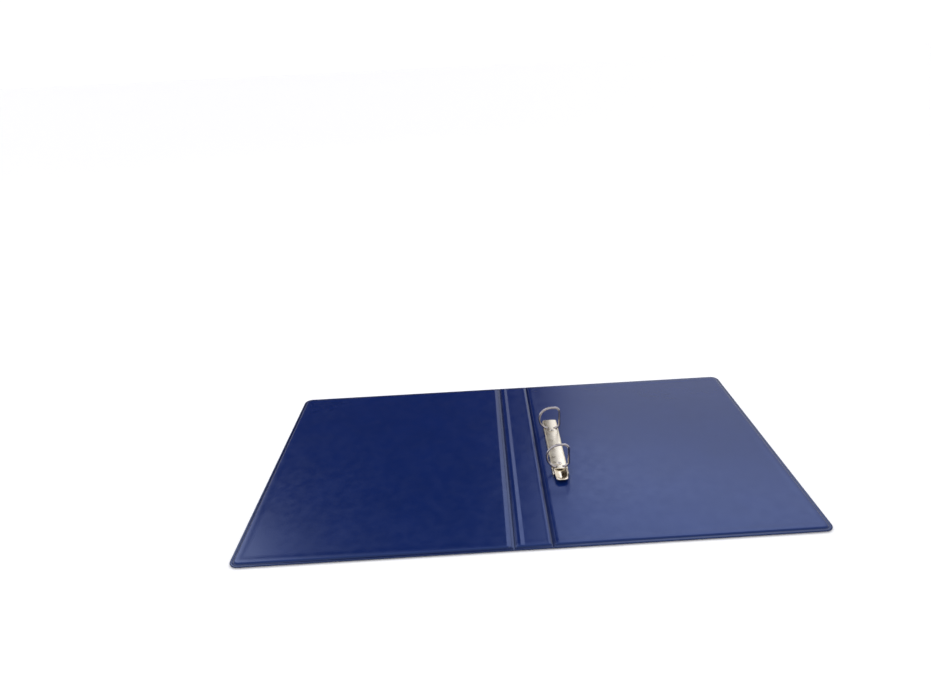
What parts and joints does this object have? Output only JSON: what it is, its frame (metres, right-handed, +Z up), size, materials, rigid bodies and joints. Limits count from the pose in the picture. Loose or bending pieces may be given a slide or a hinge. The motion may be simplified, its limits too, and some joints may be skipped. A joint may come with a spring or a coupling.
{
  "type": "ring binder",
  "caption": "A4 ring binder with D-shaped rings on the back cover, lying open and flat: welded vinyl over boards, a sprung rail and a thumb lever.",
  "frame": {"origin": "middle of the open binder, on the surface it lies on", "axes": "+X from the front cover to the back cover, +Y from the bottom edge to the top edge, +Z up out of the open inside"},
  "size_m": [0.56, 0.318, 0.0366],
  "materials": {
    "greyboard": "plain grey board",
    "vinyl_inside": "satin vinyl",
    "vinyl_outside": "satin vinyl",
    "vinyl_hinge": "welded vinyl",
    "clear_film": "clear soft film",
    "plated_housing": "nickel-plated spring steel",
    "plated_plates": "nickel-plated steel",
    "plated_rings": "nickel-plated wire",
    "plated_lever": "nickel-plated steel",
    "plated_pin": "nickel-plated steel",
    "plated_rivets": "nickel-plated steel"
  },
  "bodies": {
    "back_cover": {"back_board": "greyboard", "back_inner_liner": "vinyl_inside", "back_outer_skin": "vinyl_outside", "ring_housing": "plated_housing", "lever_pin": "plated_pin", "mounting_rivets": "plated_rivets", "rivet_washers": "plated_rivets"},
    "spine": {"spine_board": "greyboard", "spine_inner_liner": "vinyl_inside", "spine_outer_skin": "vinyl_outside", "spine_pocket_film": "clear_film", "front_hinge_weld": "vinyl_hinge", "back_hinge_weld": "vinyl_hinge"},
    "front_cover": {"front_board": "greyboard", "front_inner_liner": "vinyl_inside", "front_outer_skin": "vinyl_outside", "front_pocket_film": "clear_film"},
    "left_plate": {"left_hinge_plate": "plated_plates", "far_ring_left_half": "plated_rings", "near_ring_left_half": "plated_rings"},
    "right_plate": {"right_hinge_plate": "plated_plates", "far_ring_right_half": "plated_rings", "near_ring_right_half": "plated_rings"},
    "lever": {"trigger_lever": "plated_lever"}
  },
  "joints": [
    {"name": "back_hinge", "type": "hinge", "parent": "back_cover", "child": "spine", "pos_m": [0.0195, 0, 0.0016], "axis": [0, 1, 0], "range_deg": [0, 90], "deforming": ["back_hinge_weld"]},
    {"name": "front_hinge", "type": "hinge", "parent": "spine", "child": "front_cover", "pos_m": [-0.0185, 0, 0.0016], "axis": [0, 1, 0], "range_deg": [0, 90], "deforming": ["front_hinge_weld"]},
    {"name": "ring_opening", "type": "hinge", "parent": "back_cover", "child": "left_plate", "pos_m": [0.0318, 0, 0.0049], "axis": [0, -1, 0], "range_deg": [0, 9]},
    {"name": "right_plate_turn", "type": "hinge", "parent": "back_cover", "child": "right_plate", "pos_m": [0.0466, 0, 0.0049], "axis": [0, 1, 0], "range_deg": [0, 9]},
    {"name": "lever_press", "type": "hinge", "parent": "back_cover", "child": "lever", "pos_m": [0.0392, -0.0482, 0.0047], "axis": [1, 0, 0], "range_deg": [0, 11]}
  ],
  "couplings": [
    {"joint": "right_plate_turn", "follows": "ring_opening", "ratio": 1},
    {"joint": "lever_press", "follows": "ring_opening", "ratio": 1.2222}
  ]
}
